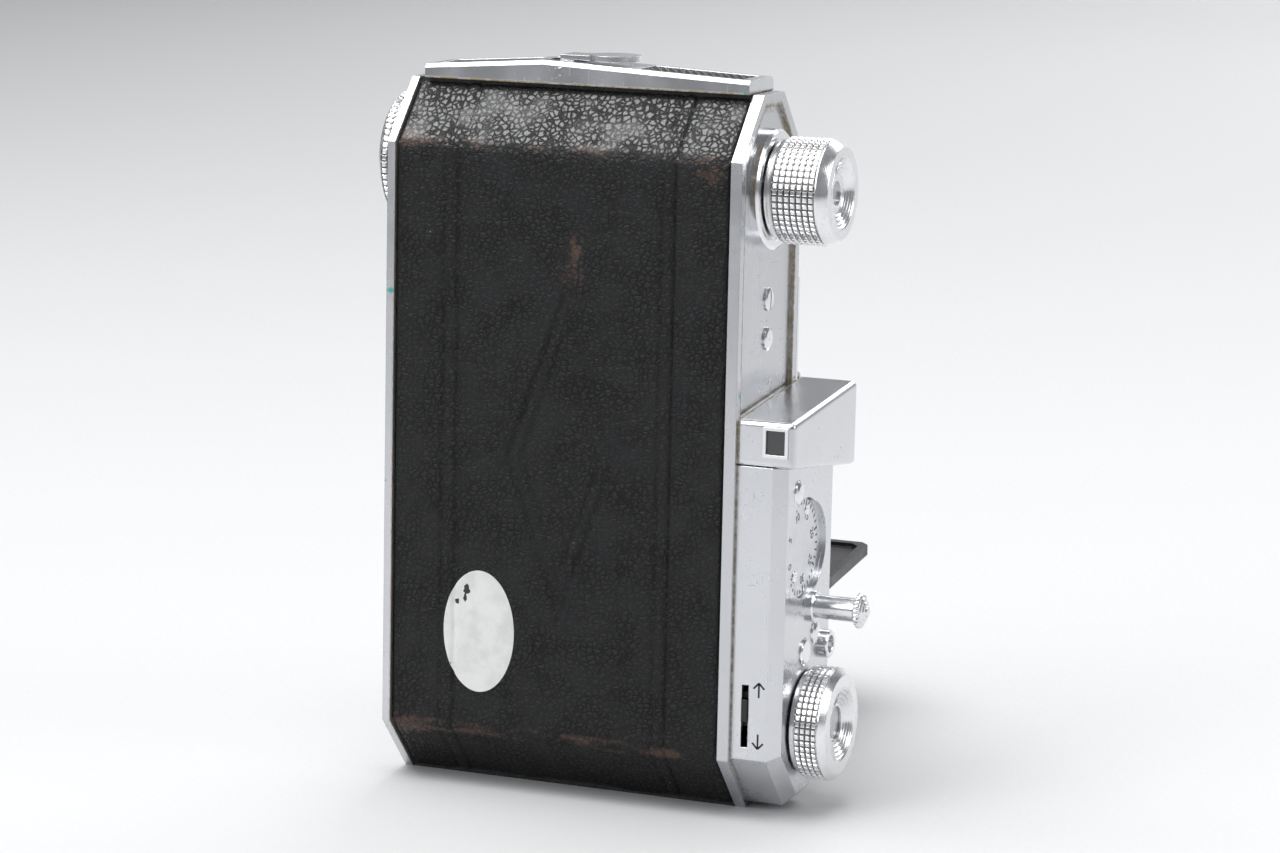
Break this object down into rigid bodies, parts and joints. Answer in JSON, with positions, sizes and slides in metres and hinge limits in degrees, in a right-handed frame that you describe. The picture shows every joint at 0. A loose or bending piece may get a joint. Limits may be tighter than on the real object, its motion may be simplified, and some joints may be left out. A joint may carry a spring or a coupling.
{
  "type": "folding 35 mm camera",
  "caption": "Leather-covered folding 35 mm camera with chrome plates, hinged back, self-erecting front bed, bellows and shutter unit.",
  "frame": {"origin": "centre of the flat winding end that the camera stands on, half way through the body", "axes": "+Z from the winding end to the rewind end, +X out of the top plate, +Y out of the lens"},
  "size_m": [0.0852, 0.0926, 0.1249],
  "materials": {
    "satin_casting": "dull cast",
    "black_enamel": "satin black",
    "satin_chrome": "satin plated",
    "light_chrome": "satin plated light alloy",
    "bright_chrome": "polished plating",
    "steel": "brushed",
    "spring_steel": "polished",
    "dark_leather": "pebbled, worn",
    "bellows_leather": "matt",
    "optical_glass": "coated",
    "spool_black": "matt",
    "brass": "turned",
    "black_enamel_alloy": "black lacquered alloy"
  },
  "bodies": {
    "body": {"winding_chamber": "satin_casting", "lens_frame": "satin_casting", "cassette_chamber": "satin_casting", "front_platform": "black_enamel_alloy", "platform_rim": "light_chrome", "body_leather": "dark_leather", "top_plate": "satin_chrome", "bottom_plate": "satin_chrome", "top_housing": "satin_chrome", "finder_housing": "satin_chrome", "eyepiece_frame": "bright_chrome", "eyepiece_lens": "optical_glass", "finder_front_lens": "optical_glass", "rewind_collar": "bright_chrome", "plate_screws": "bright_chrome", "housing_screws": "bright_chrome", "release_collar": "satin_chrome", "cable_release_socket": "steel", "tripod_socket": "satin_chrome", "latch_strap": "satin_chrome", "latch_inserts": "black_enamel", "latch_pin": "steel", "bed_hinge_pins": "steel", "back_hinge_pin": "steel", "bellows": "bellows_leather", "release_spring": "spring_steel"},
    "back": {"back_door": "steel", "back_leather": "dark_leather", "pressure_spring": "spring_steel"},
    "film_plate": {"pressure_plate": "steel"},
    "winder": {"wind_knob": "bright_chrome", "wind_shaft": "steel", "take_up_spool": "spool_black", "ratchet_wheel": "brass"},
    "sprocket": {"film_sprocket": "steel", "sprocket_shaft": "steel"},
    "counter": {"counter_dial": "light_chrome", "counter_dial_screws": "steel", "counter_gear": "brass"},
    "rewind_slider": {"rewind_detent_ring": "spring_steel"},
    "rewinder": {"rewind_knob": "bright_chrome", "rewind_shaft": "steel"},
    "release": {"release_button": "bright_chrome"},
    "film_release": {"film_release_button": "bright_chrome"},
    "selector": {"selector_lever": "bright_chrome"},
    "bed": {"bed_door": "light_chrome", "bed_door_leather": "dark_leather"},
    "bed_release": {"bed_release_button": "bright_chrome"},
    "standard": {"lens_standard": "light_chrome", "shutter_housing": "black_enamel_alloy", "rear_lens_mount": "black_enamel_alloy", "rear_lens": "optical_glass"},
    "struts": {"door_struts": "bright_chrome"},
    "speed_ring": {"shutter_speed_ring": "light_chrome"},
    "focus": {"focus_ring": "light_chrome", "front_lens": "optical_glass"},
    "aperture": {"aperture_lever": "bright_chrome"},
    "cocking": {"cocking_lever": "bright_chrome"},
    "shutter_trigger": {"shutter_release_lever": "bright_chrome"},
    "latch": {"latch_lever": "satin_chrome"}
  },
  "joints": [
    {"name": "bed_hinge", "type": "hinge", "parent": "body", "child": "bed", "pos_m": [0, 0.0198, 0.0281], "axis": [1, 0, 0], "range_deg": [0, 87]},
    {"name": "lens_slide", "type": "slide", "parent": "body", "child": "standard", "axis": [0, -1, 0], "range_m": [0, 0.02605], "deforming": ["bellows"]},
    {"name": "strut_pivot", "type": "hinge", "parent": "standard", "child": "struts", "pos_m": [0, 0.032, 0.067], "axis": [1, 0, 0], "range_deg": [0, 32]},
    {"name": "back_hinge", "type": "hinge", "parent": "body", "child": "back", "pos_m": [0, -0.0066, 0.0053], "axis": [1, 0, 0], "range_deg": [0, 95]},
    {"name": "film_plate_spring", "type": "slide", "parent": "back", "child": "film_plate", "axis": [0, -1, 0], "range_m": [0, 0.0005], "stiffness_N_per_m": 400},
    {"name": "wind_turn", "type": "hinge", "parent": "body", "child": "winder", "pos_m": [0, 0, 0.015], "axis": [1, 0, 0], "continuous": true},
    {"name": "sprocket_turn", "type": "hinge", "parent": "body", "child": "sprocket", "pos_m": [0, -0.00315, 0.032], "axis": [1, 0, 0], "continuous": true},
    {"name": "counter_turn", "type": "hinge", "parent": "body", "child": "counter", "pos_m": [0, -0.0022, 0.045], "axis": [1, 0, 0], "continuous": true},
    {"name": "rewind_pull", "type": "slide", "parent": "body", "child": "rewind_slider", "axis": [1, 0, 0], "range_m": [0, 0.0055]},
    {"name": "rewind_turn", "type": "hinge", "parent": "rewind_slider", "child": "rewinder", "pos_m": [0, 0, 0.1042], "axis": [1, 0, 0], "continuous": true},
    {"name": "release_press", "type": "slide", "parent": "body", "child": "release", "axis": [-1, 0, 0], "range_m": [0, 0.002], "stiffness_N_per_m": 600, "springref_m": -0.0005, "deforming": ["release_spring"]},
    {"name": "film_release_press", "type": "slide", "parent": "body", "child": "film_release", "axis": [-1, 0, 0], "range_m": [0, 0.0004], "stiffness_N_per_m": 400},
    {"name": "selector_slide", "type": "slide", "parent": "body", "child": "selector", "axis": [0, 0, 1], "range_m": [-0.0042, 0.0022]},
    {"name": "bed_release_press", "type": "slide", "parent": "body", "child": "bed_release", "axis": [1, 0, 0], "range_m": [0, 0.0005], "stiffness_N_per_m": 500},
    {"name": "speed_turn", "type": "hinge", "parent": "standard", "child": "speed_ring", "pos_m": [0, 0.03, 0.0596], "axis": [0, 1, 0], "range_deg": [-60, 90]},
    {"name": "focus_turn", "type": "hinge", "parent": "standard", "child": "focus", "pos_m": [0, 0.03, 0.0596], "axis": [0, 1, 0], "range_deg": [0, 250]},
    {"name": "aperture_turn", "type": "hinge", "parent": "standard", "child": "aperture", "pos_m": [0, 0.03, 0.0596], "axis": [0, 1, 0], "range_deg": [0, 52]},
    {"name": "cocking_turn", "type": "hinge", "parent": "standard", "child": "cocking", "pos_m": [0, 0.03, 0.0596], "axis": [0, 1, 0], "range_deg": [0, 38]},
    {"name": "shutter_trigger_turn", "type": "hinge", "parent": "standard", "child": "shutter_trigger", "pos_m": [0, 0.03, 0.0596], "axis": [0, 1, 0], "range_deg": [0, 16]},
    {"name": "latch_lift", "type": "hinge", "parent": "body", "child": "latch", "pos_m": [-0.0039, 0, 0.1222], "axis": [0, -1, 0], "range_deg": [0, 55]}
  ],
  "couplings": [
    {"joint": "lens_slide", "follows": "bed_hinge", "m_per_rad": 0.017123},
    {"joint": "strut_pivot", "follows": "bed_hinge", "ratio": 0.36552},
    {"joint": "sprocket_turn", "follows": "wind_turn", "ratio": 1.2397},
    {"joint": "counter_turn", "follows": "wind_turn", "ratio": -0.032623},
    {"joint": "shutter_trigger_turn", "follows": "release_press", "rad_per_m": 122.17}
  ]
}
